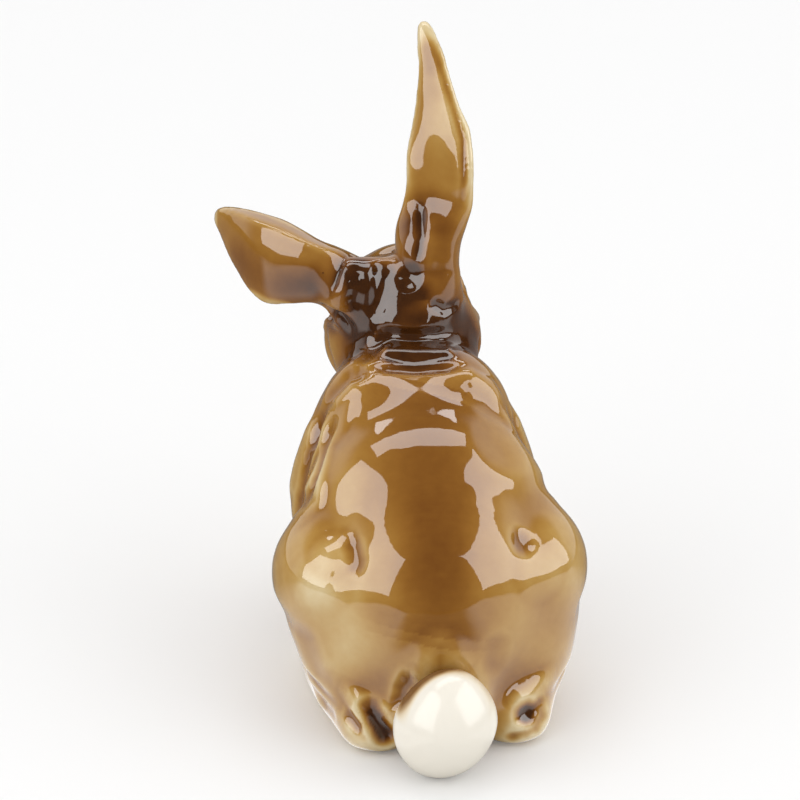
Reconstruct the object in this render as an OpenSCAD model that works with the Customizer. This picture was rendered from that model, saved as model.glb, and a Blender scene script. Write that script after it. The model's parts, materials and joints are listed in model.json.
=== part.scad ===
// Hare figurine of glazed porcelain, slip cast in separate pieces that are luted together.
// It sits with its head raised, one ear up and the other swung out and forwards.
// The hare faces -Y, its own left is +X and +Z is up.
// The origin is the middle of the flat underside that it stands on. All lengths are millimetres.

/* [Trunk] */
// Width across the haunches
hip_w = 74; // [70:1:78]
// Width across the upper arms
shoulder_w = 58; // [55:1:61]
// Length from the front of the chest to the back of the rump
trunk_l = 84; // [80:1:88]
// Height of the withers above the table
withers_h = 75; // [72:1:78]
// Thickness of the cast wall of the trunk and the head
wall = 4; // [3:0.5:5]
// Width of the flat strip that the trunk stands on
seat_w = 24; // [22:1:26]
// Diameter of the vent hole in the underside
vent_d = 6; // [5:0.5:8]

/* [Head] */
// Width across the cheeks
head_w = 38; // [36:1:40]
// Length from the back of the skull to the nose
head_l = 46; // [44:1:48]
// Height from the jaw to the crown
head_h = 36; // [34:1:38]
// Distance from the middle of the neck joint down to its throat
throat_r = 17; // [16.5:0.5:18.5]
// Diameter of an eyeball
eye_d = 9; // [8:0.5:10]

/* [Ears] */
// Length of the upright right ear above its joint
right_ear_l = 50; // [47:1:53]
// Width of the right ear's leaf
right_ear_w = 15.8; // [14:0.2:17]
// Turn of the right ear's leaf about its length, in degrees
right_ear_turn = 28; // [20:1:32]
// Length of the left ear beyond its joint, along its curve
left_ear_l = 43; // [40:1:46]
// Width of the left ear's leaf
left_ear_w = 18; // [16:0.2:19]
// Bend of the left ear from its root to its tip, in degrees
left_ear_bend = 104; // [90:1:110]
// Thickness of an ear's leaf
ear_t = 4; // [3.4:0.2:4.6]
// Depth to which an ear's rims curl forwards
ear_cup = 4; // [3:0.2:5]

/* [Tail] */
// Width of the tail
tail_w = 23.4; // [21:0.2:25]
// Height of the tail
tail_h = 25.6; // [24:0.2:26.6]
// Length of the tail from front to back
tail_l = 20; // [18:0.5:22]

/* [Legs] */
// Width of one foreleg
foreleg_w = 13; // [12:0.5:13.5]
// Height of the top of a foreleg's joint above the table
foreleg_h = 37; // [35:1:39]
// Length of one forepaw
forepaw_l = 20; // [18:0.5:21]
// Length of one hind foot
foot_l = 60; // [57:1:62]
// Width of one hind foot
foot_w = 17; // [16:0.5:18]
// Height of a hind foot's joint at its outer edge
foot_h = 20; // [18:0.5:22]

/* [Hidden] */

// Glaze colours
fur_brown = [0.55, 0.37, 0.16];
fur_dark = [0.40, 0.25, 0.12];
ear_tan = [0.62, 0.47, 0.24];
tail_white = [0.90, 0.86, 0.79];

// Sides of the hare, as signs along X
left = 1;
right = -1;

// The ear's first stations, up to this one, pass from the joint's outline to the leaf
root_stations = 3;

// Softness of the join between neighbouring forms
broad_blend = 8;
close_blend = 4;
tight_blend = 2;

// Steps in which a ray is followed out to the skin
first_step = 1;
close_enough = 0.02;
step_share = 0.85;
most_steps = 20;
edge_steps = 5;
tiny = 0.001;

// Points round and rows along each casting
trunk_columns = 72;
seat_rows = 22;
back_rows = 14;
head_columns = 56;
crown_rows = 12;
face_rows = 9;
hollow_rows_share = 0.5;
ear_columns = 26;
leg_columns = 24;
leg_rows = 10;
foot_rows = 10;
end_rows = 4;
tail_columns = 32;
tail_rows = 7;
joint_rows = 3;
vent_rows_share = 0.22;

// Places and half sizes in the tables of forms are shares of these
trunk_unit = [hip_w / 2, trunk_l, withers_h];
arm_unit = [shoulder_w / 2, trunk_l, withers_h];
head_unit = [head_w / 2, head_l, head_h];

// Places that the rays of the trunk and the head set out from
seat_shares = [0, 0.06, 0.35];
neck_shares = [0, -0.42, 0.83];
muzzle_lean = 95;

// Each row of a table of forms is its place, its half size and its turns about X, Y and Z in degrees.
// Forms of the trunk on the median plane: pelvis, loin, withers, chest, neck, belly, breast and tail root
trunk_shares = [
    [[0, 0.20, 0.40], [0.76, 0.25, 0.35], [0, 0, 0]],
    [[0, 0.00, 0.58], [0.79, 0.25, 0.35], [0, 0, 0]],
    [[0, -0.18, 0.75], [0.50, 0.18, 0.24], [0, 0, 0]],
    [[0, -0.33, 0.58], [0.46, 0.20, 0.28], [0, 0, 0]],
    [[0, -0.36, 0.85], [0.37, 0.15, 0.15], [0, 0, 0]],
    [[0, 0.07, 0.13], [0.58, 0.34, 0.17], [0, 0, 0]],
    [[0, -0.26, 0.32], [0.40, 0.16, 0.34], [0, 0, 0]],
    [[0, 0.40, 0.21], [0.26, 0.11, 0.13], [0, 0, 0]]
];
// Forms of the trunk in pairs: haunch, then shank and hock
haunch_shares = [
    [[0.68, 0.10, 0.455], [0.31, 0.21, 0.19], [15, 0, 0]]
];
shank_shares = [
    [[0.58, 0.14, 0.23], [0.28, 0.20, 0.18], [0, 0, 0]],
    [[0.44, 0.34, 0.07], [0.21, 0.095, 0.10], [0, 0, 0]]
];
// Forms in pairs that follow the shoulder's width: shoulder blade and upper arm
arm_shares = [
    [[0.45, -0.20, 0.82], [0.33, 0.16, 0.21], [0, -24, 0]],
    [[0.665, -0.205, 0.58], [0.32, 0.14, 0.24], [10, -10, 0]]
];
// Forms of the head on the median plane, from the neck joint: skull, muzzle, nose and chin
head_shares = [
    [[0, -0.10, 0.375], [0.73, 0.40, 0.46], [12, 0, 0]],
    [[0, -0.41, 0.17], [0.52, 0.33, 0.30], [14, 0, 0]],
    [[0, -0.69, 0.14], [0.20, 0.07, 0.09], [0, 0, 0]],
    [[0, -0.47, -0.03], [0.34, 0.20, 0.16], [0, 0, 0]]
];
// Forms of the head in pairs: cheek, whisker pad and brow
cheek_shares = [
    [[0.44, -0.14, 0.18], [0.54, 0.30, 0.31], [0, 0, 0]],
    [[0.22, -0.59, 0.06], [0.27, 0.14, 0.15], [0, 0, 0]],
    [[0.42, -0.26, 0.52], [0.24, 0.17, 0.11], [0, 0, 0]]
];
eye_shares = [0.58, -0.28, 0.38];

// Roots of the ears on the head, from the neck joint
right_root_shares = [-0.26, 0.07, 0.88];
left_root_shares = [0.90, 0.05, 0.72];
right_stem_shares = [[[-0.27, 0.07, 0.71], [0.40, 0.13, 0.36], [0, 0, 0]]];
left_stem_shares = [[[0.62, 0.05, 0.66], [0.52, 0.13, 0.26], [0, -26, 0]]];

// Sway of the hind legs and of the shoulders from the middle of the seat
leg_sway = -1.2;
shoulder_sway = 0.5;

// Lift of the left ear's root from level, and droop of its bend, in degrees
left_root_lift = 26;
left_ear_droop = 10;

// Stations of the right ear: share of its length, shifts to its side and backwards, half width,
// thickness and curl as shares of its own sizes
right_ear_shares = [
    [0.04, 0.01, -0.11, 0.95, 3.1, 0.1],
    [0.14, -0.04, -0.10, 1.05, 2.4, 0.2],
    [0.24, -0.14, -0.15, 1.08, 1.5, 0.2],
    [0.32, -0.19, -0.26, 1.07, 1.15, 0.2],
    [0.41, -0.20, -0.36, 1.08, 1.0, 0.2],
    [0.48, -0.21, -0.45, 1.05, 0.9, 0.2],
    [0.57, -0.23, -0.55, 0.94, 0.85, 0.2],
    [0.66, -0.21, -0.68, 0.73, 0.8, 0.2],
    [0.74, -0.19, -0.81, 0.61, 0.75, 0.15],
    [0.82, -0.17, -0.95, 0.49, 0.75, 0.1],
    [0.885, -0.15, -1.10, 0.42, 0.7, 0.1],
    [0.94, -0.12, -1.24, 0.32, 0.65, 0.1],
    [0.975, -0.11, -1.34, 0.21, 0.6, 0],
    [0.99, -0.10, -1.39, 0.10, 0.4, 0]
];
// Tip of the right ear: share of its length, and shifts to its side and backwards
right_tip_shares = [1, -0.10, -1.40];

// Stations of the left ear, the same way, off its curve
left_ear_shares = [
    [0.06, 0.02, 0, 0.98, 1.9, 0.2],
    [0.13, 0.05, 0, 0.98, 1.5, 0.6],
    [0.21, 0.08, 0, 1.00, 1.2, 0.9],
    [0.29, 0.10, 0, 1.02, 1.0, 1.0],
    [0.37, 0.11, 0, 1.02, 1.0, 1.0],
    [0.45, 0.10, 0, 0.98, 1.0, 0.9],
    [0.53, 0.08, 0, 0.88, 1.0, 0.8],
    [0.61, 0.05, 0, 0.76, 1.0, 0.7],
    [0.69, 0.02, 0, 0.65, 1.0, 0.6],
    [0.77, 0.00, 0, 0.55, 0.95, 0.4],
    [0.85, 0.00, 0, 0.45, 0.85, 0.3],
    [0.92, 0.00, 0, 0.35, 0.75, 0.2],
    [0.97, 0.00, 0, 0.22, 0.6, 0.1],
    [0.99, 0.00, 0, 0.12, 0.4, 0]
];

// Tail: where it joins the rump, and its middle, as shares of the trunk and of its own sizes
tail_joint_share = 0.465;
tail_middle_share = 0.535;
tail_lift_share = 0.51;

// Legs: the foot and the foreleg on the trunk, and their joints
foot_shares = [0.55, 0.05, 0.055];
foot_depth_share = 0.37;
foot_turn = 8;
foreleg_shares = [0.26, -0.44, 0.29];
foreleg_half_shares = [0.107, 0.54];
paw_shares = [0.26, -0.555, 0.05];
paw_depth_share = 0.085;
leg_joint_shares = [-0.285, -0.506];
leg_line_shares = [-0.49, -0.52, 0.80];
foot_line_shares = [0.12, 0.33, -0.40];

// A share of some sizes, as a place or a size
function scaled(share, sizes) = [share.x * sizes.x, share.y * sizes.y, share.z * sizes.z];

// A smooth rise from 0 to 1 as a value goes from 0 to 1
function eased(value) = let (v = min(max(value, 0), 1)) v * v * (3 - 2 * v);

// A direction made one unit long
function unit(v) = v / norm(v);

// Across, up the back and along, for a line that leans forwards by some degrees
function frame(lean) = [[1, 0, 0], [0, cos(lean), sin(lean)], [0, -sin(lean), cos(lean)]];

seat = scaled(seat_shares, trunk_unit);
neck = scaled(neck_shares, trunk_unit);
neck_lean = atan2(seat.y - neck.y, neck.z - seat.z);
tail_middle = [0, tail_middle_share * trunk_l, tail_lift_share * tail_h];
foot_middle = scaled(foot_shares, trunk_unit);
foot_slope = atan2(foot_h, foot_middle.x + (foot_w - seat_w) / 2);
right_root = neck + scaled(right_root_shares, head_unit);
left_root = neck + scaled(left_root_shares, head_unit);
left_root_way = [cos(left_root_lift), 0, sin(left_root_lift)];
left_bend_way = [
    sin(left_ear_droop) * sin(left_root_lift),
    -cos(left_ear_droop),
    -sin(left_ear_droop) * cos(left_root_lift)
];

// One form: its centre, the rows that bring it to a unit ball, and the softness of its join
function form(centre, half, turn, blend) =
    let (c = [for (t = turn) cos(t)], s = [for (t = turn) sin(t)])
    let (ex = [c.y * c.z, c.y * s.z, -s.y])
    let (ey = [s.x * s.y * c.z - c.x * s.z, s.x * s.y * s.z + c.x * c.z, s.x * c.y])
    let (ez = [c.x * s.y * c.z + s.x * s.z, c.x * s.y * s.z - s.x * c.z, c.x * c.y])
    [centre, [ex / half.x, ey / half.y, ez / half.z], blend];

// The forms of a table, on one side of the median plane and measured from an origin
function placed(shares, sizes, origin, side, blend) = [
    for (row = shares)
        let (at = scaled(row[0], sizes), turn = row[2])
        form(
            origin + [side * at.x, at.y, at.z], scaled(row[1], sizes),
            [turn.x, side * turn.y, side * turn.z], blend
        )
];

// The forms of a table on both sides
function both(shares, sizes, origin, blend) = concat(
    placed(shares, sizes, origin, left, blend),
    placed(shares, sizes, origin, right, blend)
);

// The forms of one foreleg: its column and its paw
function foreleg_forms(side) =
    let (leg = scaled(foreleg_shares, arm_unit), paw = scaled(paw_shares, arm_unit))
    [
        form(
            [side * leg.x, leg.y, leg.z],
            [foreleg_w / 2, foreleg_half_shares[0] * trunk_l, foreleg_half_shares[1] * foreleg_h],
            [0, 0, 0], close_blend
        ),
        form(
            [side * paw.x, paw.y, paw.z],
            [foreleg_w / 2, forepaw_l / 2, paw_depth_share * withers_h],
            [0, 0, 0], close_blend
        )
    ];

// The form of one hind foot
function foot_forms(side) = [
    form(
        [side * foot_middle.x + leg_sway, foot_middle.y, foot_middle.z],
        [foot_w / 2, foot_l / 2, foot_depth_share * foot_h],
        [0, 0, side * foot_turn], close_blend
    )
];

// The form of the tail
tail_forms = [form(tail_middle, [tail_w, tail_l, tail_h] / 2, [0, 0, 0], tight_blend)];

// The trunk's own forms, without its limbs
body_forms = concat(
    placed(trunk_shares, trunk_unit, [0, 0, 0], left, broad_blend),
    both(haunch_shares, trunk_unit, [0, 0, 0], close_blend),
    both(shank_shares, trunk_unit, [leg_sway, 0, 0], broad_blend),
    both(arm_shares, arm_unit, [shoulder_sway, 0, 0], close_blend)
);

// The form of one eyeball
function eye_form(side) =
    let (at = scaled(eye_shares, head_unit))
    form(neck + [side * at.x, at.y, at.z], [eye_d, eye_d, eye_d] / 2, [0, 0, 0], tight_blend);

// The head's own forms, with the eyes and the ears' stems
head_forms = concat(
    placed(head_shares, head_unit, neck, left, close_blend),
    both(cheek_shares, head_unit, neck, close_blend),
    placed(left_stem_shares, head_unit, neck, left, close_blend),
    placed(right_stem_shares, head_unit, neck, left, close_blend),
    [eye_form(left), eye_form(right)]
);

// Distance from a point to a form, near enough close to its surface
function distance(point, f) =
    let (q = f[1] * (point - f[0]), k = norm(q))
    k * (k - 1) / max(norm(q * f[1]), tiny);

// The lesser of two distances, rounded over where they are nearly alike
function softer(a, b, blend) =
    let (h = max(blend - abs(a - b), 0) / blend)
    min(a, b) - h * h * blend / 4;

// Distance from a point to the skin over the forms up to the last one named
function skin(point, forms, last) =
    let (d = distance(point, forms[last]))
    last == 0 ? d : softer(skin(point, forms, last - 1), d, forms[last][2]);

// Length of a ray at which it comes within some depth under the skin, followed from inside
function traced(start, ray, cast, hit = first_step, steps = most_steps) =
    let (gap = skin(start + hit * ray, cast[0], len(cast[0]) - 1) + cast[2])
    steps == 0 || abs(gap) < close_enough ? hit :
    traced(start, ray, cast, max(hit - step_share * gap, first_step), steps - 1);

// A casting is its forms, its joint planes, each a point and an outward normal, and its depth under the skin.
// Where a ray at some angle in a row ends: its end, and the plane that stops it, or -1 at the skin.
// A row is its start, its frame and its spread from the frame's axis in degrees
function ended(row, angle, cast) =
    let (across = cos(angle) * row[1][0] + sin(angle) * row[1][1])
    let (ray = sin(row[2]) * across + cos(row[2]) * row[1][2])
    let (far = traced(row[0], ray, cast))
    let (stops = [
        for (p = cast[1]) p[1] * ray > tiny ? (p[1] * (p[0] - row[0]) - p[2] * cast[2]) / (p[1] * ray) : 2 * far
    ])
    let (near = len(stops) > 0 ? min(stops) : 2 * far)
    [row[0] + min(far, near) * ray, far <= near ? -1 : search(near, stops)[0]];

// The angle between two rays of a row at which what stops them changes
function edge_angle(row, low, high, kind, cast, steps = edge_steps) =
    let (mid = (low + high) / 2)
    steps == 0 ? mid :
    ended(row, mid, cast)[1] == kind ? edge_angle(row, mid, high, kind, cast, steps - 1) :
    edge_angle(row, low, mid, kind, cast, steps - 1);

// The points of one row, with a point on each edge between the skin and a joint plane
function row_points(row, columns, cast) =
    let (turn = 360 / columns)
    let (ends = [for (j = [0 : columns - 1]) ended(row, j * turn, cast)])
    [
        for (j = [0 : columns - 1])
            let (next = (j + 1) % columns)
            ends[j][1] == ends[next][1] ? ends[j][0] :
            ended(row, edge_angle(row, j * turn, (j + 1) * turn, ends[j][1], cast), cast)[0]
    ];

// The points of several rows, one after another
function cast_points(rows, columns, cast) = [for (row = rows) each row_points(row, columns, cast)];

// How far the middle of two points is off the surface of a casting
function off_surface(p, q, cast) =
    let (m = (p + q) / 2)
    abs(max(concat(
        [skin(m, cast[0], len(cast[0]) - 1) + cast[2]],
        [for (s = cast[1]) s[1] * (m - s[0]) + s[2] * cast[2]]
    )));

// Faces that join rows of equal length, counted from a first point, seen from outside or from within.
// Each pair of faces is split along the crease, if there is one
function band_faces(first, rows, columns, points, cast, within = false) = [
    for (i = [0 : rows - 2], j = [0 : columns - 1])
        let (a = first + i * columns + j, b = first + i * columns + (j + 1) % columns)
        let (c = a + columns, d = b + columns)
        let (rising = off_surface(points[b], points[c], cast) <= off_surface(points[a], points[d], cast))
        each rising ? (within ? [[a, b, c], [b, d, c]] : [[a, c, b], [b, c, d]])
                    : (within ? [[a, b, d], [a, d, c]] : [[a, d, b], [a, c, d]])
];

// Faces that close a row onto the point before it or after it
function low_faces(tip, first, columns) = [
    for (j = [0 : columns - 1]) [tip, first + j, first + (j + 1) % columns]
];
function high_faces(tip, first, columns) = [
    for (j = [0 : columns - 1]) [tip, first + (j + 1) % columns, first + j]
];

// Faces of a rim, from a row to one within it that has half as many points
function rim_faces(outer, inner, inner_columns, upward) = [
    for (j = [0 : inner_columns - 1])
        let (n = (j + 1) % inner_columns)
        let (a = outer + 2 * j, b = outer + 2 * j + 1, c = outer + 2 * n, d = inner + j, e = inner + n)
        each upward ? [[a, d, b], [b, d, e], [b, e, c]] : [[a, b, d], [b, e, d], [b, c, e]]
];

// A level ring of points about a place
function ring(middle, radius, columns) = [
    for (j = [0 : columns - 1]) let (a = 360 * j / columns) middle + radius * [cos(a), sin(a), 0]
];

floor_plane = [[0, 0, 0], [0, 0, -1], 1];
neck_plane = [neck, frame(neck_lean)[2], 0];
tail_plane = [[0, tail_joint_share * trunk_l, 0], [0, 1, 0], 1];
leg_plane =
    let (low = leg_joint_shares[0] * trunk_l, high = leg_joint_shares[1] * trunk_l)
    [[0, low, 0], unit([0, -foreleg_h, high - low]), 1];
right_ear_plane = [right_root, [0, 0, 1], 1];
left_ear_plane = [left_root, left_root_way, 1];

// The plane between the trunk and a hind foot, facing the foot
function foot_plane(side) = [[side * seat_w / 2, 0, 0], [side * sin(foot_slope), 0, -cos(foot_slope)], 1];

// A plane that faces the other way
function turned(plane) = [plane[0], -plane[1], plane[2]];

// The trunk's rows: a fan about the seat that turns from straight down, then square across the spine
function trunk_rows(fan, straight) = concat(
    [for (i = [ceil(vent_rows_share * fan) : fan]) [seat, frame(neck_lean * i / fan), 180 - 90 * i / fan]],
    [for (i = [1 : straight]) [seat + (neck - seat) * i / straight, frame(neck_lean), 90]]
);

// The hollow trunk, open at the neck and vented in its underside
module trunk() {
    planes = [floor_plane, tail_plane, leg_plane, foot_plane(left), foot_plane(right), neck_plane];
    forms = concat(
        body_forms, head_forms, foreleg_forms(left), foreleg_forms(right),
        foot_forms(left), foot_forms(right), tail_forms
    );
    inner_columns = trunk_columns / 2;
    outer_cast = [forms, planes, 0];
    inner_cast = [forms, planes, wall];
    outer_rows = trunk_rows(seat_rows, back_rows);
    inner_rows = trunk_rows(ceil(seat_rows * hollow_rows_share), ceil(back_rows * hollow_rows_share));
    vent = [seat.x, seat.y, 0];
    points = concat(
        ring(vent, vent_d / 2, trunk_columns),
        cast_points(outer_rows, trunk_columns, outer_cast),
        ring(vent + [0, 0, wall], vent_d / 2, inner_columns),
        cast_points(inner_rows, inner_columns, inner_cast)
    );
    inner = trunk_columns * (len(outer_rows) + 1);
    color(fur_brown)
        polyhedron(points, concat(
            band_faces(0, len(outer_rows) + 1, trunk_columns, points, outer_cast),
            band_faces(inner, len(inner_rows) + 1, inner_columns, points, inner_cast, within = true),
            rim_faces(0, inner, inner_columns, upward = false),
            rim_faces(inner - trunk_columns, len(points) - inner_columns, inner_columns, upward = true)
        ));
}

// The head's rows: leaning round from the neck joint about the throat, then a fan onto the muzzle
function head_rows(crown, face) =
    let (throat = neck - throat_r * frame(neck_lean)[1])
    let (middle = throat + throat_r * frame(muzzle_lean)[1])
    concat(
        [
            for (i = [0 : crown])
                let (line = frame(neck_lean + (muzzle_lean - neck_lean) * i / crown))
                [throat + throat_r * line[1], line, 90]
        ],
        [for (i = [1 : face - 1]) [middle, frame(muzzle_lean), 90 - 90 * i / face]]
    );

// The end of a ray straight along a row's axis
function pole(row, cast) = ended([row[0], row[1], 0], 0, cast)[0];

// The hollow head, open at the neck, with the stems that carry the ears
module head() {
    planes = [right_ear_plane, left_ear_plane];
    forms = concat(body_forms, head_forms);
    inner_columns = head_columns / 2;
    outer_rows = head_rows(crown_rows, face_rows);
    inner_rows = head_rows(ceil(crown_rows * hollow_rows_share), ceil(face_rows * hollow_rows_share));
    outer_cast = [forms, planes, 0];
    inner_cast = [forms, planes, wall];
    points = concat(
        cast_points(outer_rows, head_columns, outer_cast),
        [pole(outer_rows[len(outer_rows) - 1], outer_cast)],
        cast_points(inner_rows, inner_columns, inner_cast),
        [pole(inner_rows[len(inner_rows) - 1], inner_cast)]
    );
    inner = head_columns * len(outer_rows) + 1;
    inner_tip = len(points) - 1;
    color(fur_dark)
        polyhedron(points, concat(
            band_faces(0, len(outer_rows), head_columns, points, outer_cast),
            high_faces(inner - 1, inner - 1 - head_columns, head_columns),
            band_faces(inner, len(inner_rows), inner_columns, points, inner_cast, within = true),
            low_faces(inner_tip, inner_tip - inner_columns, inner_columns),
            rim_faces(0, inner, inner_columns, upward = false)
        ));
}

// A closed casting from rows, with a point at each end
module closed_casting(rows, columns, cast, low, high) {
    points = concat([low], cast_points(rows, columns, cast), [high]);
    last = len(points) - 1;
    polyhedron(points, concat(
        low_faces(0, 1, columns),
        band_faces(1, len(rows), columns, points, cast),
        high_faces(last, last - columns, columns)
    ));
}

// Rows between two places, with a fan at either end where it is asked for
function limb_rows(from, to, line, count, low_fan, high_fan) = concat(
    [for (i = [1 : 1 : low_fan - 1]) [from, line, 180 - 90 * i / low_fan]],
    [for (i = [0 : count]) [from + (to - from) * i / count, line, 90]],
    [for (i = [1 : 1 : high_fan - 1]) [to, line, 90 - 90 * i / high_fan]]
);

// One foreleg with its paw, luted to the front of the chest
module foreleg(side) {
    x = side * foreleg_shares.x * arm_unit.x;
    from = [x, leg_line_shares[0] * trunk_l, 0];
    to = [x, leg_line_shares[1] * trunk_l, leg_line_shares[2] * foreleg_h];
    median_plane = [[0, 0, 0], [-side, 0, 0], 1];
    cast = [concat(body_forms, foreleg_forms(side)), [floor_plane, median_plane, turned(leg_plane)], 0];
    rows = limb_rows(from, to, frame(0), leg_rows, 1, end_rows);
    color(fur_brown)
        closed_casting(rows, leg_columns, cast, from, pole(rows[len(rows) - 1], cast));
}

// One hind foot, luted under the haunch
module hind_foot(side) {
    x = side * (foot_middle.x + foot_line_shares[0] * foot_w);
    z = tan(foot_slope) * (abs(x) - seat_w / 2) / 2;
    from = [x, foot_middle.y + foot_line_shares[1] * foot_l, z];
    to = [x, foot_middle.y + foot_line_shares[2] * foot_l, z];
    cast = [concat(body_forms, foot_forms(side)), [floor_plane, turned(foot_plane(side))], 0];
    rows = limb_rows(from, to, frame(90), foot_rows, end_rows, end_rows);
    heel = ended([from, frame(90), 180], 0, cast)[0];
    color(fur_brown)
        closed_casting(rows, leg_columns, cast, heel, pole(rows[len(rows) - 1], cast));
}

// The tail, luted to the rump
module tail() {
    cast = [tail_forms, [floor_plane, turned(tail_plane)], 0];
    joint = [tail_middle.x, tail_plane[0].y, tail_middle.z];
    rows = limb_rows(tail_middle, joint, frame(90), joint_rows, tail_rows, 1);
    end = ended([tail_middle, frame(90), 180], 0, cast)[0];
    color(tail_white)
        closed_casting(rows, tail_columns, cast, end, joint);
}

// Faces that join the rows of a leaf
function leaf_faces(first, rows, columns) = [
    for (i = [0 : rows - 2], j = [0 : columns - 1])
        let (a = first + i * columns + j, b = first + i * columns + (j + 1) % columns)
        each [[a, a + columns, b], [b, a + columns, b + columns]]
];

// One ear: its joint's outline as the head is there, drawn out into a curled leaf.
// A place gives, for a share of the length, the middle of the leaf and its frame: wide, back and along
module ear(shares, places, size, cast) {
    root = places[0];
    stem = row_points([root[0], root[1], 90], ear_columns, cast);
    stem_flat = [for (p = stem) [(p - root[0]) * root[1][0], (p - root[0]) * root[1][1]]];
    leaf = [
        for (i = [0 : len(shares) - 1])
            let (s = shares[i], at = places[i + 1], grown = eased(s[0] / shares[root_stations][0]))
            for (j = [0 : ear_columns - 1])
                let (a = 360 * j / ear_columns)
                let (wide = s[3] * size * cos(a) / 2)
                let (deep = s[4] * ear_t * sin(a) / 2 - s[5] * ear_cup * pow(cos(a), 2))
                let (flat = (1 - grown) * stem_flat[j] + grown * [wide, deep])
                at[0] + flat.x * at[1][0] + flat.y * at[1][1]
    ];
    tip = places[len(places) - 1][0];
    points = concat([root[0]], stem, leaf, [tip]);
    last = len(points) - 1;
    color(ear_tan)
        polyhedron(points, concat(
            low_faces(0, 1, ear_columns),
            leaf_faces(1, len(shares) + 1, ear_columns),
            high_faces(last, last - ear_columns, ear_columns)
        ));
}

// The upright right ear
module ear_right() {
    stations = concat([[0, 0, 0]], right_ear_shares, [right_tip_shares]);
    places = [
        for (s = stations)
            let (turn = right_ear_turn * eased(s[0] / right_ear_shares[root_stations][0]))
            let (line = [[cos(turn), -sin(turn), 0], [sin(turn), cos(turn), 0], [0, 0, 1]])
            [right_root + [s[1] * right_ear_w, s[2] * right_ear_w, s[0] * right_ear_l], line]
    ];
    ear(right_ear_shares, places, right_ear_w, [concat(body_forms, head_forms), [], 0]);
}

// The left ear, on an arc that swings outwards and then forwards
module ear_left() {
    radius = left_ear_l / (left_ear_bend * PI / 180);
    stations = concat([[0, 0, 0]], left_ear_shares, [[1, 0, 0]]);
    places = [
        for (s = stations)
            let (turn = s[0] * left_ear_bend)
            let (along = cos(turn) * left_root_way + sin(turn) * left_bend_way)
            let (back = sin(turn) * left_root_way - cos(turn) * left_bend_way)
            let (at = left_root + radius * (sin(turn) * left_root_way + (1 - cos(turn)) * left_bend_way))
            let (wide = cross(back, along))
            [at + s[1] * left_ear_w * wide + s[2] * left_ear_w * back, [wide, back, along]]
    ];
    ear(left_ear_shares, places, left_ear_w, [concat(body_forms, head_forms), [], 0]);
}

trunk();
head();
ear_left();
ear_right();
tail();
foreleg(left);  // foreleg_left
foreleg(right);  // foreleg_right
hind_foot(left);  // hind_foot_left
hind_foot(right);  // hind_foot_right
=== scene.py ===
"""Looks of a glazed porcelain hare figurine, built around its packed castings.

The castings, but for the ears and the tail, are luted into one skin of clay with new leaves for the
ears. It is modelled with tools, sprayed with colour, with painted reflections on the ear rims and
painted shade in the hock hollows, cut along the joints again and glazed. The tail is made by itself.
"""

from __future__ import annotations

import json
import logging
import math
from collections.abc import Iterator, Sequence
from dataclasses import dataclass, field, replace
from enum import Enum

import bmesh
import bpy
import numpy as np
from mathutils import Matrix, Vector
from mathutils.bvhtree import BVHTree

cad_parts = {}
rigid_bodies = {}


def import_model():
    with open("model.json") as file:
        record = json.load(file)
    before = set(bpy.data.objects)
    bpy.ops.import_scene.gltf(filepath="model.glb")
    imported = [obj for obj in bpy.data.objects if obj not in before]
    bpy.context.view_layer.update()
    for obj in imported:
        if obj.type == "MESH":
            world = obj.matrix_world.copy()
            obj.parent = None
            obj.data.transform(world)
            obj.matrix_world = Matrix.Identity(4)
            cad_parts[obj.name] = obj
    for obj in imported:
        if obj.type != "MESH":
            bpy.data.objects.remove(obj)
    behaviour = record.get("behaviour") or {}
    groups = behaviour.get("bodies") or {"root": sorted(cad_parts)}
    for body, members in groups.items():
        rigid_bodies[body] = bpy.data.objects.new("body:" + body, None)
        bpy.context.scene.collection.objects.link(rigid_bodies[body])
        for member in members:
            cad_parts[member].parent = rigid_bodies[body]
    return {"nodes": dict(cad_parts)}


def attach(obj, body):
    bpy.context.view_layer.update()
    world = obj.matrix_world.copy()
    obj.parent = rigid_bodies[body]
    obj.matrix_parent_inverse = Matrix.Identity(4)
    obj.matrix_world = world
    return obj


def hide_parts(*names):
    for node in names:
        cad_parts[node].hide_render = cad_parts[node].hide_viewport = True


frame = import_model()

LOG = logging.getLogger("hare")
MM = 0.001
ONE_POINT = 1e-6
WHITE = (1.0, 1.0, 1.0, 1.0)
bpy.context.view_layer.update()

Place = tuple[float, float, float]
Colour = tuple[float, float, float, float]
Pair = tuple[float, float]
Range = tuple[float, float, float, float]
Path = tuple[Pair, ...]
Station = tuple[Pair, Pair, float, float, float, float]
Shape = bpy.types.Object
Mesh = bpy.types.Mesh
Socket = bpy.types.NodeSocket


def deselect() -> None:
    """Leaves object mode with nothing selected."""
    if bpy.context.object is not None and bpy.context.object.mode != "OBJECT":
        bpy.ops.object.mode_set(mode="OBJECT")
    for shape in list(bpy.context.selected_objects):
        shape.select_set(False)


def take(shape: Shape) -> None:
    """Selects one object alone and makes it active."""
    deselect()
    shape.select_set(True)
    bpy.context.view_layer.objects.active = shape


def duplicate(shape: Shape, name: str) -> Shape:
    """Copies an object with a mesh of its own, no parent and no memory of the casting it was."""
    copy = shape.copy()
    copy.data = shape.data.copy()
    copy.parent = None
    copy.name = name
    for key in list(copy.keys()):
        del copy[key]
    bpy.context.scene.collection.objects.link(copy)
    return copy


def finish_with(shape: Shape, kind: str, **settings: object) -> None:
    """Adds a modifier of some kind with its settings and applies it."""
    take(shape)
    modifier = shape.modifiers.new(kind.lower(), kind)
    for key, value in settings.items():
        setattr(modifier, key, value)
    bpy.ops.object.modifier_apply(modifier=modifier.name)


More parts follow.
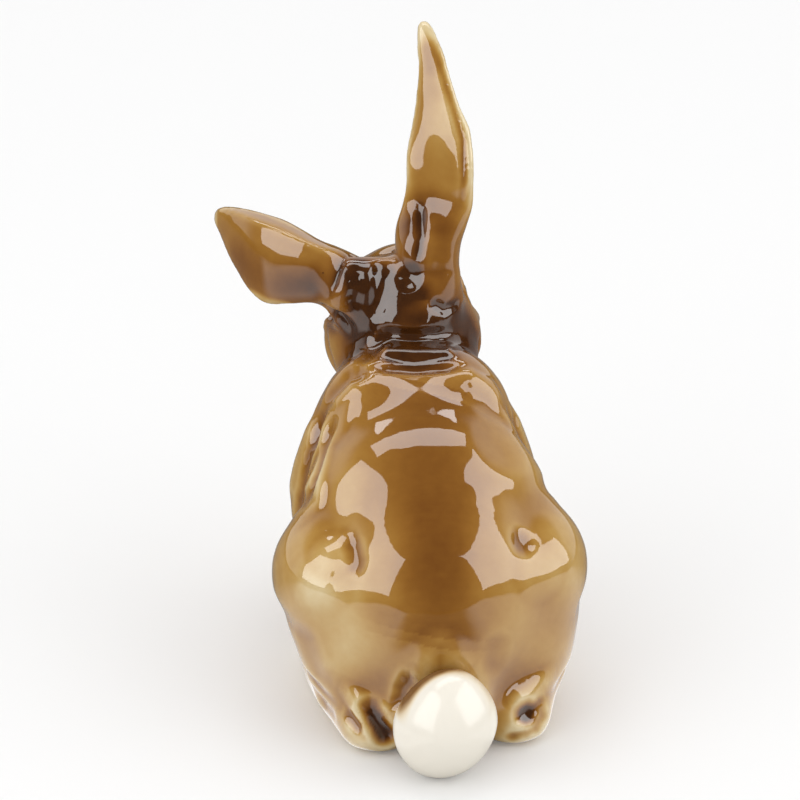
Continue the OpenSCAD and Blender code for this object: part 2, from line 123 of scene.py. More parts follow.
def vertex_array(mesh: Mesh, what: str = "co") -> np.ndarray:
    """Places (co) or normals (normal) of a mesh's vertices, one row of three numbers to each."""
    values = np.zeros(len(mesh.vertices) * 3, np.float32)
    mesh.vertices.foreach_get(what, values)
    return values.reshape(-1, 3).astype(float)


def passed(values: np.ndarray, start: float, end: float) -> np.ndarray:
    """How far each value has got from the start to the end, from 0 to 1."""
    return np.clip((values - start) / (end - start), 0.0, 1.0)


class Side(Enum):
    """Side that a tool is held to, from its azimuth and elevation in degrees.

    Then come the mm to one step of its points across and up, and the point at the origin. The
    points of the photographed side are places in a frame of 800 by 800, and all others are mm.
    """

    PHOTOGRAPHED = (173.0, 27.0, 0.23, -0.23, 425.2, 684.0)
    FRONT = (0.0, 0.0, 1.0, 1.0, 0.0, 0.0)
    LEFT = (90.0, 0.0, 1.0, 1.0, 0.0, 0.0)
    RIGHT = (270.0, 0.0, 1.0, 1.0, 0.0, 0.0)

    def axes(self) -> tuple[Vector, Vector, Vector]:
        """Directions to the right, upwards and towards whoever looks from this side."""
        azimuth, elevation = math.radians(self.value[0]), math.radians(self.value[1])
        right = Vector((math.cos(azimuth), math.sin(azimuth), 0.0))
        flat = math.cos(elevation)
        back = Vector((math.sin(azimuth) * flat, -math.cos(azimuth) * flat, math.sin(elevation)))
        return right, back.cross(right), back

    def place(self, point: Sequence[float]) -> Vector:
        """The place in metres of a point given in this side's own way, in the plane of the origin."""
        right, up, _ = self.axes()
        _, _, across_scale, up_scale, across_zero, up_zero = self.value
        across = (point[0] - across_zero) * across_scale * MM
        height = (point[1] - up_zero) * up_scale * MM
        return across * right + height * up


@dataclass(frozen=True)
class Stroke:
    """One pull of a tool or of a brush along the clay, or one press with it.

    Attributes:
        side: The side that it is made from.
        path: Points along it, in the side's own way.
        depth: How far it goes in, in mm, or how much colour it lays. Below zero it raises a
            ridge or wipes colour off.
        reach: How far to each side it goes, in mm.
        fade: The share of its length over which it comes and goes at each end.
    """

    side: Side
    path: Path
    depth: float
    reach: float
    fade: float = 0.3


def from_side(side: Side, *rows: tuple[tuple[float, ...] | float, ...]) -> tuple[Stroke, ...]:
    """Strokes from one side, from rows of their points (x and y in turn), depth, reach and rare fade."""
    return tuple(Stroke(side, tuple(zip(path[::2], path[1::2])), *rest) for path, *rest in rows)


@dataclass
class Clay:
    """The skin of clay over all the luted castings.

    Attributes:
        coarse: Size of the first skin's faces.
        fine: Size of the modelled skin's faces.
        rub: How much one pass of the wet sponge evens out.
        first_sponge: Its passes over the first skin.
        second_sponge: Its passes once thin forms are luted on.
        last_sponge: Its passes over the modelled skin.
        vent_radius: Radius of the plug that keeps the hollow out of the skin.
        vent_depth: Thickness of the plug.
        vent_place: Middle of the plug.
        eye_radius: Radius of an eyeball.
        eye_place: Middle of the left eyeball.
        eye_rings: Rings of an eyeball.
        far: Distance from which tools come.
        stop: Distance from touch to touch, as a share of a stroke's reach.
        dab: Length in reaches up to which a stroke's ends don't fade.
        landing: Share of a stroke at its very ends.
        grazing: Cosine up to which skin that is turned away is touched.
        shape: The skin.
    """

    coarse: float = 1.2 * MM
    fine: float = 0.55 * MM
    rub: float = 0.5
    first_sponge: int = 14
    second_sponge: int = 4
    last_sponge: int = 3
    vent_radius: float = 4.5 * MM
    vent_depth: float = 3.4 * MM
    vent_place: Place = (0.0, 5.0 * MM, 2.0 * MM)
    eye_radius: float = 4.1 * MM
    eye_place: Place = (11.8 * MM, -48.2 * MM, 76.0 * MM)
    eye_rings: int = 24
    far: float = 0.5
    stop: float = 0.12
    dab: float = 2.5
    landing: float = 0.15
    grazing: float = 0.3
    shape: Shape = field(init=False)

    def gather(self, nodes: dict[str, Shape], left_out: Sequence[str]) -> None:
        """Lutes copies of the castings into one skin, all but those that are left out."""
        copies = [duplicate(shape, name) for name, shape in nodes.items() if name not in left_out]
        deselect()
        bpy.ops.mesh.primitive_cylinder_add(
            radius=self.vent_radius, depth=self.vent_depth, location=self.vent_place
        )
        copies.append(bpy.context.object)
        self._join(copies)
        self._renew(self.coarse, self.first_sponge)
        finish_with(self.shape, "SUBSURF", levels=1, render_levels=1)

    def add(self, shapes: Sequence[Shape]) -> None:
        """Lutes thin forms onto the skin, which takes them up, and makes all of it one skin again."""
        self._join([self.shape, *shapes])
        self._renew(self.fine, self.second_sponge)

    def smooth(self) -> None:
        """Goes over the modelled skin with the wet sponge for the last time and shades it smooth."""
        finish_with(self.shape, "SMOOTH", factor=self.rub, iterations=self.last_sponge)
        take(self.shape)
        bpy.ops.object.shade_smooth()

    def eyeball(self, side: int) -> Shape:
        """Rolls one eyeball in its place, the left one for 1 and the right one for -1."""
        deselect()
        across, along, up = self.eye_place
        bpy.ops.mesh.primitive_uv_sphere_add(
            segments=2 * self.eye_rings,
            ring_count=self.eye_rings,
            radius=self.eye_radius,
            location=(side * across, along, up),
        )
        ball = bpy.context.object
        ball.name = "eyeball"
        bpy.ops.object.transform_apply(location=True, rotation=True, scale=True)
        return ball

    def _renew(self, face: float, passes: int) -> None:
        """Makes one skin of all that was joined and goes over it with the wet sponge."""
        finish_with(self.shape, "REMESH", mode="VOXEL", voxel_size=face, adaptivity=0.0)
        finish_with(self.shape, "SMOOTH", factor=self.rub, iterations=passes)

    def _join(self, shapes: Sequence[Shape]) -> None:
        """Joins objects into the one that the clay keeps."""
        deselect()
        for shape in shapes:
            shape.select_set(True)
        bpy.context.view_layer.objects.active = shapes[0]
        bpy.ops.object.join()
        self.shape = bpy.context.object
        self.shape.name = "clay"
        self.shape.data.materials.clear()
        bpy.ops.object.mode_set(mode="EDIT")
        bpy.ops.mesh.select_all(action="SELECT")
        bpy.ops.mesh.remove_doubles(threshold=ONE_POINT)
        bpy.ops.object.mode_set(mode="OBJECT")

    def press(self, strokes: Sequence[Stroke]) -> None:
        """Presses strokes into the skin, each at its depth from the skin as it was before them all."""
        mesh = self.shape.data
        moved, normals = vertex_array(mesh), vertex_array(mesh, "normal")
        for near, amount in self._touched(strokes):
            moved[near] -= normals[near] * (amount * MM)[:, None]
        mesh.vertices.foreach_set("co", moved.astype(np.float32).ravel())
        mesh.update()

    def paint(self, strokes: Sequence[Stroke], tone: np.ndarray) -> np.ndarray:
        """Lays colour along strokes, over the tone of each vertex, and gives back the new tones."""
        painted = tone.copy()
        for near, amount in self._touched(strokes):
            painted[near] += amount
        return painted

    def _touched(self, strokes: Sequence[Stroke]) -> Iterator[tuple[np.ndarray, np.ndarray]]:
        """For each stroke, the vertices that it reaches and what it does to each of them."""
        mesh = self.shape.data
        places, normals = vertex_array(mesh), vertex_array(mesh, "normal")
        tree = BVHTree.FromObject(self.shape, bpy.context.evaluated_depsgraph_get())
        for stroke in strokes:
            near, share = self.under(stroke, tree, places, normals)
            yield near, share * stroke.depth

    def under(
        self, stroke: Stroke, tree: BVHTree, places: np.ndarray, normals: np.ndarray
    ) -> tuple[np.ndarray, np.ndarray]:
        """Finds what lies under a stroke.

        Args:
            stroke: The stroke.
            tree: The skin, to be touched from the stroke's side.
            places: The vertices' places.
            normals: The vertices' normals.

        Returns:
            The vertices that the stroke reaches, and how much of it each one gets.
        """
        _, _, back = stroke.side.axes()
        corners = [stroke.side.place(point) for point in stroke.path]
        stops, travelled = [corners[0]], [0.0]
        for first, last in zip(corners, corners[1:]):
            length = (last - first).length
            count = max(1, round(length / (self.stop * stroke.reach * MM)))
            stops += [first.lerp(last, (k + 1) / count) for k in range(count)]
            travelled += [travelled[-1] + length / count * (k + 1) for k in range(count)]
        touched = [tree.ray_cast(stop + back * self.far, -back)[0] for stop in stops]
        kept = [k for k, hit in enumerate(touched) if hit is not None]
        if not kept:
            return np.zeros(0, int), np.zeros(0)
        points = np.array([touched[k] for k in kept])
        along = np.array([travelled[k] for k in kept]) / max(travelled[-1], ONE_POINT)
        reach = stroke.reach * MM
        low, high = points.min(axis=0) - reach, points.max(axis=0) + reach
        near = np.nonzero(((places > low) & (places < high)).all(axis=1))[0]
        best, where = np.full(len(near), reach), np.zeros(len(near))
        for point, share in zip(points, along):
            away = np.linalg.norm(places[near] - point, axis=1)
            closer = away < best
            best[closer], where[closer] = away[closer], share
        ratio = best / reach
        share = (1 - ratio**2) ** 2
        if travelled[-1] > self.dab * reach:
            share *= np.clip(np.minimum(where, 1 - where) / stroke.fade + self.landing, 0.0, 1.0)
        share *= passed(normals[near] @ np.array(back), -self.grazing, 0.0)
        return near, share


@dataclass(frozen=True)
class Leaf:
    """A curled leaf of clay, drawn out through stations.

    Attributes:
        stations: For each station two edge points in the photographed side's own way, then in
            mm the depth of its middle, how much deeper its second edge lies, how much its back
            bulges and how thick it is.
        bulge: How the bulge runs from the first edge to the second, from 0 to 1 in even steps.
        rings: Rings that it is drawn out in.
        points: Points to a ring, an even number.
        edge: How round its edges are, from 0 for square ones to 1 for those of an ellipse.
        nearby: How far to each side the bulge's slope is read, in its steps.
        narrowest: Least width in mm that a slope is taken over.
        steepest: Steepest slope that the wall is thickened for.
    """

    stations: tuple[Station, ...]
    bulge: tuple[float, ...] = (0.0, 0.75, 1.0, 0.75, 0.0)
    rings: int = 90
    points: int = 40
    edge: float = 0.5
    nearby: float = 0.25
    narrowest: float = 1.0
    steepest: float = 1.6

    def shape(self, name: str) -> Shape:
        """Draws the leaf out as a closed object with this name."""
        table = np.array([[*a, *b, depth, twist, crown, thick]
                          for a, b, depth, twist, crown, thick in self.stations])
        steps = np.linspace(0, len(table) - 1, self.rings)
        rows = smooth_rows(table, steps)
        half = self.points // 2
        turn = np.concatenate([np.linspace(0, math.pi, half, endpoint=False)] * 2)
        turn[half:] += math.pi
        across = (1 - np.cos(turn)) / 2
        spans = len(self.bulge) - 1
        curve = np.array(self.bulge)[:, None]
        swell = smooth_rows(curve, across * spans)[:, 0]
        beyond, short = (smooth_rows(curve, np.clip(across * spans + way, 0, spans))[:, 0]
                         for way in (self.nearby, -self.nearby))
        slope = (beyond - short) / (2 * self.nearby) * spans
        skin = np.sign(np.sin(turn)) * np.abs(np.sin(turn)) ** self.edge
        back = np.array(Side.PHOTOGRAPHED.axes()[2])
        points, faces = [], []
        for ax, ay, bx, by, depth, twist, crown, thick in rows:
            flat = np.array(
                [list(Side.PHOTOGRAPHED.place((ax + (bx - ax) * t, ay + (by - ay) * t))) for t in across]
            )
            width = max(np.linalg.norm(flat[half] - flat[0]) / MM, self.narrowest)
            steepness = np.clip(np.abs(crown * slope) / width, 0.0, self.steepest)
            wall = thick * np.sqrt(1.0 + steepness**2)
            height = depth + twist * (across - 0.5) + crown * swell + wall / 2 * skin
            points.append(flat + height[:, None] * MM * back)
        for k in range(self.rings - 1):
            for j in range(self.points):
                n = (j + 1) % self.points
                faces.append((k * self.points + j, k * self.points + n,
                              (k + 1) * self.points + n, (k + 1) * self.points + j))
        faces.append(tuple(range(self.points))[::-1])
        faces.append(tuple((self.rings - 1) * self.points + j for j in range(self.points)))
        mesh = bpy.data.meshes.new(name)
        mesh.from_pydata(np.concatenate(points).tolist(), [], faces)
        made = bpy.data.objects.new(name, mesh)
        bpy.context.scene.collection.objects.link(made)
        take(made)
        bpy.ops.object.mode_set(mode="EDIT")
        bpy.ops.mesh.select_all(action="SELECT")
        bpy.ops.mesh.normals_make_consistent(inside=False)
        bpy.ops.object.mode_set(mode="OBJECT")
        return made


def smooth_rows(table: np.ndarray, steps: np.ndarray) -> np.ndarray:
    """Reads a table at steps between its rows, along a smooth curve through them."""
    last = len(table) - 1
    first = np.clip(np.floor(steps).astype(int), 0, last - 1)
    share = (steps - first)[:, None]
    before, after = np.clip(first - 1, 0, last), np.clip(first + 2, 0, last)
    p0, p1, p2, p3 = table[before], table[first], table[first + 1], table[after]
    return 0.5 * (
        2 * p1
        + (p2 - p0) * share
        + (2 * p0 - 5 * p1 + 4 * p2 - p3) * share**2
        + (3 * p1 - p0 - 3 * p2 + p3) * share**3
    )


def srgb(red: int, green: int, blue: int) -> Colour:
    """A colour from its three display values of 0 to 255."""
    values = [value / 255 for value in (red, green, blue)]
    linear = [v / 12.92 if v <= 0.04045 else ((v + 0.055) / 1.055) ** 2.4 for v in values]
    return linear[0], linear[1], linear[2], 1.0


class Tree:
    """The nodes of a material or of the world."""

    def __init__(self, owner: bpy.types.Material | bpy.types.World) -> None:
        """Takes hold of the nodes of their owner."""
        owner.use_nodes = True
        self.nodes = owner.node_tree.nodes
        self.links = owner.node_tree.links

    def feed(self, node: bpy.types.Node, inputs: dict[str | int, object]) -> None:
        """Links some inputs of a node to sockets, and sets others to values."""
        for key, value in inputs.items():
            if isinstance(value, Socket):
                self.links.new(value, node.inputs[key])
            else:
                node.inputs[key].default_value = value

    def add(
        self, kind: str, inputs: dict[str | int, object] | None = None, **settings: object
    ) -> bpy.types.Node:
        """Adds a node of some kind, with its own settings first and then its inputs."""
        made = self.nodes.new("ShaderNode" + kind)
        for key, value in settings.items():
            setattr(made, key, value)
        self.feed(made, inputs or {})
        return made

    def math(self, operation: str, *values: Socket | float) -> Socket:
        """The result of one operation on values."""
        return self.add("Math", dict(enumerate(values)), operation=operation).outputs[0]

    def ranged(self, value: Socket, start: float, end: float, first: float, last: float) -> Socket:
        """A value brought smoothly from one range, start to end, to another, first to last."""
        inputs = {"Value": value, "From Min": start, "From Max": end, "To Min": first, "To Max": last}
        return self.add("MapRange", inputs, interpolation_type="SMOOTHSTEP").outputs["Result"]

    def mixed(self, share: Socket, none: object, full: object, kind: str = "FLOAT") -> Socket:
        """A value or colour between two others."""
        inputs = {"Factor": share, "A": none, "B": full}
        return self.add("Mix", inputs, data_type=kind).outputs["Result"]


@dataclass(frozen=True)
class Glaze:
    """A transparent gloss glaze over colour that was sprayed on white porcelain.

    Attributes:
        name: Name of the material.
        tones: Its colours from thin to thick, each with its share of the way.
        mottle: How much the colour changes from spot to spot.
        spots: Scale, detail and share of the mottle of each size of spots.
        waviness: How uneven the gloss is, in metres.
        waves: Scale and detail of that unevenness.
        gloss: How strongly it mirrors.
        blur: How soft its mirror images are.
        bend: Its index of refraction.
        ground: Roughness of the colour under it.
        speck_scale: Scale of the cells that may hold a speck of iron.
        speck_edge: Distances from a cell's middle where a speck has ended and is full.
        speck_bar: Share of the cells that hold no speck.
        speck_colour: Colour of the specks.
    """

    name: str
    tones: tuple[tuple[float, Colour], ...]
    mottle: float = 0.10
    spots: tuple[Place, ...] = ((55.0, 2.0, 0.6), (420.0, 3.0, 0.4))
    waviness: float = 0.00012
    waves: Pair = (90.0, 1.0)
    gloss: float = 1.0
    blur: float = 0.035
    bend: float = 1.6
    ground: float = 0.45
    speck_scale: float = 150.0
    speck_edge: Pair = (0.05, 0.03)
    speck_bar: float = 0.94
    speck_colour: Colour = srgb(70, 40, 18)

    def material(self) -> bpy.types.Material:
        """Makes the material, which reads the skin's tone."""
        made = bpy.data.materials.new(self.name)
        tree = Tree(made)
        place = tree.add("TexCoord").outputs["Object"]
        total = tree.add("Attribute", attribute_name="tone").outputs["Fac"]
        for scale, detail, share in self.spots:
            noise = tree.add("TexNoise", {"Scale": scale, "Detail": detail, "Vector": place})
            total = tree.math("MULTIPLY_ADD", noise.outputs["Fac"], 2 * self.mottle * share, total)
        ramp = tree.add("ValToRGB", {"Fac": tree.math("SUBTRACT", total, self.mottle)})
        ramp.color_ramp.interpolation = "B_SPLINE"
        elements = ramp.color_ramp.elements
        while len(elements) < len(self.tones):
            elements.new(0.5)
        for element, (position, colour) in zip(elements, self.tones):
            element.position = position
            element.color = colour
        scale, detail = self.waves
        ripple = tree.add("TexNoise", {"Scale": scale, "Detail": detail, "Vector": place})
        bump = tree.add("Bump", {"Distance": self.waviness, "Height": ripple.outputs["Fac"]})
        finish = {
            "Base Color": self._specked(tree, place, ramp.outputs["Color"]),
            "Roughness": self.ground,
            "Specular IOR Level": 0.0,
            "Coat Weight": self.gloss,
            "Coat Roughness": self.blur,
            "Coat IOR": self.bend,
            "Coat Normal": bump.outputs["Normal"],
        }
        tree.feed(tree.nodes["Principled BSDF"], finish)
        return made

    def _specked(self, tree: Tree, place: Socket, colour: Socket) -> Socket:
        """Adds a few tiny dark specks of iron to a colour."""
        cells = tree.add("TexVoronoi", {"Scale": self.speck_scale, "Vector": place}).outputs
        ended, full = self.speck_edge
        close = tree.add("MapRange", {"Value": cells["Distance"], "From Min": ended, "From Max": full})
        red = tree.add("SeparateColor", {"Color": cells["Color"]}).outputs["Red"]
        chosen = tree.math("GREATER_THAN", red, self.speck_bar)
        amount = tree.math("MULTIPLY", close.outputs["Result"], chosen)
        return tree.mixed(amount, colour, self.speck_colour, "RGBA")


@dataclass(frozen=True)
class Joint:
    """A plane where two castings are luted together.

    Attributes:
        place: A place on it, in mm.
        way: The direction out of the piece that is bounded by it.
        within: Lowest and highest value along X, in mm, of what it cuts.
    """

    place: Place
    way: Place
    within: Pair = (-90.0, 90.0)

    def turned(self) -> Joint:
        """The same joint as the piece beyond it has it."""
        return Joint(self.place, (-self.way[0], -self.way[1], -self.way[2]), self.within)

    def cut(self, mesh: Mesh) -> None:
        """Cuts off what is beyond the joint and closes the mesh there, in edit mode."""
        bpy.ops.mesh.select_all(action="DESELECT")
        skin = bmesh.from_edit_mesh(mesh)
        low, high = (value * MM for value in self.within)
        for vertex in skin.verts:
            vertex.select = low <= vertex.co.x <= high
        skin.select_flush_mode()
        bmesh.update_edit_mesh(mesh, loop_triangles=False, destructive=False)
        bpy.ops.mesh.bisect(
            plane_co=[value * MM for value in self.place],
            plane_no=self.way,
            use_fill=True,
            clear_outer=True,
            threshold=ONE_POINT,
        )


@dataclass
class Casting:
    """One piece of the hare, cut out of the finished skin along its joints.

    Attributes:
        name: Name of the piece.
        node: The casting that it stands for.
        slot: A slot of the record; not used.
        heart: A place on the piece, in mm, that tells it from scraps beyond its joints.
        joints: The joints that bound it.
        shape: The piece once it is cut out.
    """

    name: str
    node: str
    slot: str
    heart: Place
    joints: tuple[Joint, ...]
    shape: Shape = field(init=False)

    def release(self, clay: Clay) -> None:
        """Cuts the piece out of the skin, closes its joints and keeps the skin's smooth shading."""
        self.shape = duplicate(clay.shape, self.name)
        take(self.shape)
        bpy.ops.object.mode_set(mode="EDIT")
        bpy.context.tool_settings.mesh_select_mode = (True, False, False)
        for joint in self.joints:
            joint.cut(self.shape.data)
        self._keep_heart(self.shape.data)
        bpy.ops.object.mode_set(mode="OBJECT")
        finish_with(
            self.shape,
            "DATA_TRANSFER",
            object=clay.shape,
            use_loop_data=True,
            data_types_loops={"CUSTOM_NORMAL"},
            loop_mapping="POLYINTERP_NEAREST",
        )

    def _keep_heart(self, mesh: Mesh) -> None:
        """Deletes all but what hangs together with the vertex nearest to the heart."""
        bpy.ops.mesh.select_all(action="DESELECT")
        skin = bmesh.from_edit_mesh(mesh)
        heart = Vector(self.heart) * MM
        nearest = min(skin.verts, key=lambda vertex: (vertex.co - heart).length_squared)
        nearest.select = True
        skin.select_flush_mode()
        bmesh.update_edit_mesh(mesh, loop_triangles=False, destructive=False)
        bpy.ops.mesh.select_linked()
        bpy.ops.mesh.select_all(action="INVERT")
        bpy.ops.mesh.delete(type="VERT")

    def dress(self, finish: bpy.types.Material) -> None:
        """Gives the piece its finish and puts it in its casting's place."""
        self.shape.data.materials.clear()
        self.shape.data.materials.append(finish)
        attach(self.shape, "root")
        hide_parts(self.node)
        LOG.info("%s: %d faces", self.name, len(self.shape.data.polygons))


NECK = Joint((0, -35.28, 62.25), (0, -0.7459, 0.6660))
LEGS = Joint((0, -23.94, 0), (0, -0.8938, -0.4484))
LEFT_FOOT = Joint((12, 0, 0), (0.7648, 0, -0.6442))
RIGHT_FOOT = Joint((-12, 0, 0), (-0.7648, 0, -0.6442))
RIGHT_EAR = Joint((0, 0, 93.93), (0, 0, 1), (-90, 9))
LEFT_EAR = Joint((17.1, -32.98, 88.17), (0.8988, 0, 0.4384), (4, 90))
MEDIAN = Joint((0, 0, 0), (1, 0, 0))


@dataclass(frozen=True)
class Softbox:
    """A soft box, which either shows in the gloss or lights the clay.

    Attributes:
        azimuth: Where it hangs, in degrees from +Y towards +X.
        elevation: How high it hangs, in degrees.
        distance: How far it hangs from what it is turned to.
        size: Its width and height.
        brightness: Its radiance.
        in_gloss: Whether it shows in the gloss. If not, it lights the clay.
    """

    azimuth: float
    elevation: float
    distance: float
    size: Pair
    brightness: float
    in_gloss: bool

    def hang(self, aim: Place) -> None:
        """Hangs it up, turned to a place."""
        azimuth, elevation = math.radians(self.azimuth), math.radians(self.elevation)
        flat = math.cos(elevation)
        towards = Vector((math.sin(azimuth) * flat, math.cos(azimuth) * flat, math.sin(elevation)))
        deselect()
        bpy.ops.object.light_add(type="AREA", location=Vector(aim) + towards * self.distance)
        lamp = bpy.context.object
        lamp.name = "softbox"
        lamp.data.shape = "RECTANGLE"
        lamp.data.size, lamp.data.size_y = self.size
        lamp.data.energy = self.brightness * math.pi * self.size[0] * self.size[1]
        lamp.rotation_mode = "QUATERNION"
        lamp.rotation_quaternion = (-towards).to_track_quat("-Z", "Y")
        lamp.visible_camera = False
        lamp.visible_glossy = self.in_gloss
        lamp.visible_diffuse = not self.in_gloss


SOFTBOXES = (
    Softbox(64, 30, 0.85, (0.86, 0.70), 4.3, True),
    Softbox(62, 31, 0.95, (0.9, 0.8), 0.75, False),
    Softbox(-64, 30, 0.85, (0.86, 0.70), 4.3, True),
    Softbox(-62, 31, 0.95, (0.9, 0.8), 0.75, False),
    Softbox(180, 77, 1.1, (1.35, 0.44), 4.4, True),
    Softbox(180, 50, 1.1, (0.95, 0.15), 5.4, True),
    Softbox(180, 75, 1.2, (1, 0.8), 1, False),
)


@dataclass(frozen=True)
class Studio:
    """A pale table, a surround that is white for the camera, soft boxes and the camera.

    Each range says where a change starts and ends, and its values there.

    Attributes:
        distance: How far the camera stands from the middle of the frame.
        frame_size: Width of the photograph's frame in mm at the hare.
        middle: The frame's middle in its own 800 points.
        depth: How far the frame's plane is from the origin towards the camera, in mm.
        sensor: Width of the camera's sensor, in mm.
        sight: How far the camera sees.
        aim: The place that the soft boxes are turned to.
        fill: Strength of the surround for the clay.
        room: Strength of the surround in the gloss, where it isn't white.
        beyond: Range along Y of the white that the gloss shows.
        low: Range along Z of the same.
        table_size: Width of the table.
        table_roughness: Its roughness.
        table_shades: Its brightness for all but the gloss, and in the gloss.
        lift: How much it glows for the camera.
        fan: Range of its glow in the gloss, by slopes from behind the hare to the sides.
        ring: Range of the same by distance from the hare.
        front: Range of the same along Y.
        least: Length that a slope is taken over at least.
    """

    distance: float = 2.5
    frame_size: float = 184.0
    middle: Pair = (400.0, 400.0)
    depth: float = 25.6
    sensor: float = 36.0
    sight: float = 50.0
    aim: Place = (0.0, 0.0, 0.06)
    fill: float = 0.85
    room: float = 0.06
    beyond: Range = (0.1, -0.5, 0.0, 1.0)
    low: Range = (0.75, 0.45, 0.0, 1.0)
    table_size: float = 6.0
    table_roughness: float = 0.8
    table_shades: Pair = (0.8, 0.02)
    lift: float = 0.1
    fan: Range = (0.4, 0.62, 0.1, 1.0)
    ring: Range = (0.9, 0.4, 0.04, 1.35)
    front: Range = (-0.05, 0.02, 0.15, 1.0)
    least: float = 0.001

    def camera(self) -> None:
        """Sets the camera at the photograph's angle."""
        _, _, back = Side.PHOTOGRAPHED.axes()
        target = Side.PHOTOGRAPHED.place(self.middle) + back * self.depth * MM
        deselect()
        bpy.ops.object.camera_add(location=target + back * self.distance)
        camera = bpy.context.object
        camera.rotation_mode = "QUATERNION"
        camera.rotation_quaternion = (-back).to_track_quat("-Z", "Y")
        camera.data.sensor_width = self.sensor
        camera.data.lens = self.sensor * self.distance / (self.frame_size * MM)
        camera.data.clip_end = self.sight
        bpy.context.scene.camera = camera

    def surround(self) -> None:
        """Makes the surround, which is white for the camera.

        For the clay it is a little dimmer. In the gloss it is white only low down and beyond the
        hare, and a dim room elsewhere, as the photograph's glaze mirrors it.
        """
        world = bpy.data.worlds.new("surround")
        bpy.context.scene.world = world
        tree = Tree(world)
        path = tree.add("LightPath").outputs
        gloss = tree.math("MAXIMUM", path["Is Glossy Ray"], path["Is Transmission Ray"])
        way = tree.add("TexCoord").outputs["Generated"]
        _, along, up = tree.add("SeparateXYZ", {"Vector": way}).outputs
        behind = tree.ranged(along, *self.beyond)
        sweep = tree.math("MULTIPLY", behind, tree.ranged(up, *self.low))
        shown = tree.ranged(sweep, 0.0, 1.0, self.room, 1.0)
        strength = tree.mixed(gloss, self.fill, shown)
        strength = tree.mixed(path["Is Camera Ray"], strength, 1.0)
        tree.feed(tree.nodes["Background"], {"Color": WHITE, "Strength": strength})

    def table(self) -> None:
        """Makes the pale table.

        In the gloss it is nearly black, but for a glowing patch by the hare on the camera's side.
        """
        deselect()
        bpy.ops.mesh.primitive_plane_add(size=self.table_size, location=(0.0, 0.0, 0.0))
        table = bpy.context.object
        table.name = "table"
        paint = bpy.data.materials.new("table_white")
        tree = Tree(paint)
        path = tree.add("LightPath").outputs
        place = tree.add("TexCoord").outputs["Object"]
        across, along, _ = tree.add("SeparateXYZ", {"Vector": place}).outputs
        slope = tree.math("DIVIDE", tree.math("ABSOLUTE", across), tree.math("MAXIMUM", along, self.least))
        length = tree.add("VectorMath", {0: place}, operation="LENGTH").outputs["Value"]
        lit = tree.ranged(slope, *self.fan)
        near = tree.ranged(length, *self.ring)
        ahead = tree.ranged(along, *self.front)
        patch = tree.math("MULTIPLY", tree.math("MULTIPLY", lit, near), ahead)
        in_gloss = tree.math("MULTIPLY", patch, path["Is Glossy Ray"])
        seen = tree.math("MULTIPLY", path["Is Camera Ray"], self.lift)
        finish = {
            "Base Color": tree.mixed(path["Is Glossy Ray"], *self.table_shades),
            "Roughness": self.table_roughness,
            "Specular IOR Level": 0.0,
            "Emission Color": WHITE,
            "Emission Strength": tree.math("ADD", in_gloss, seen),
        }
        tree.feed(tree.nodes["Principled BSDF"], finish)
        table.data.materials.append(paint)

    def build(self) -> None:
        """Sets up everything."""
        bpy.context.scene.view_settings.view_transform = "Standard"
        self.camera()
        self.surround()
        self.table()
        for softbox in SOFTBOXES:
            softbox.hang(self.aim)


def store(shape: Shape, name: str, values: np.ndarray) -> None:
    """Keeps one number to each vertex of an object, as an attribute with this name."""
    mesh = shape.data
    kept = mesh.attributes.get(name) or mesh.attributes.new(name, "FLOAT", "POINT")
    kept.data.foreach_set("value", values.astype(np.float32))


def relief(mesh: Mesh, steps: int, pull: float = 0.7) -> np.ndarray:
    """How far each vertex stands out from the skin round it.

    Args:
        mesh: The skin.
        steps: How far round each vertex is looked, in passes.
        pull: How far a pass brings each vertex to the middle of its neighbours.

    Returns:
        The height in mm, above zero on ridges and below zero in hollows.
    """
    places, normals = vertex_array(mesh), vertex_array(mesh, "normal")
    ends = np.zeros(len(mesh.edges) * 2, np.int32)
    mesh.edges.foreach_get("vertices", ends)
    first, last = ends[0::2], ends[1::2]
    count = np.bincount(ends, minlength=len(places)).astype(float)
    flat = places.copy()
    for _ in range(steps):
        for axis in range(3):
            total = np.bincount(first, flat[last, axis], minlength=len(places))
            total += np.bincount(last, flat[first, axis], minlength=len(places))
            flat[:, axis] += pull * (total / count - flat[:, axis])
    return ((places - flat) * normals).sum(axis=1) / MM


def mirrored(*strokes: Stroke) -> tuple[Stroke, ...]:
    """Strokes from the front or the left, with their mirror images on the right half of the hare."""
    other = {Side.FRONT: Side.FRONT, Side.LEFT: Side.RIGHT}
    return strokes + tuple(
        replace(stroke, side=other[stroke.side], path=tuple((-across, up) for across, up in stroke.path))
        for stroke in strokes
    )


PHOTO = Side.PHOTOGRAPHED
FRONT = Side.FRONT
LEFT = Side.LEFT

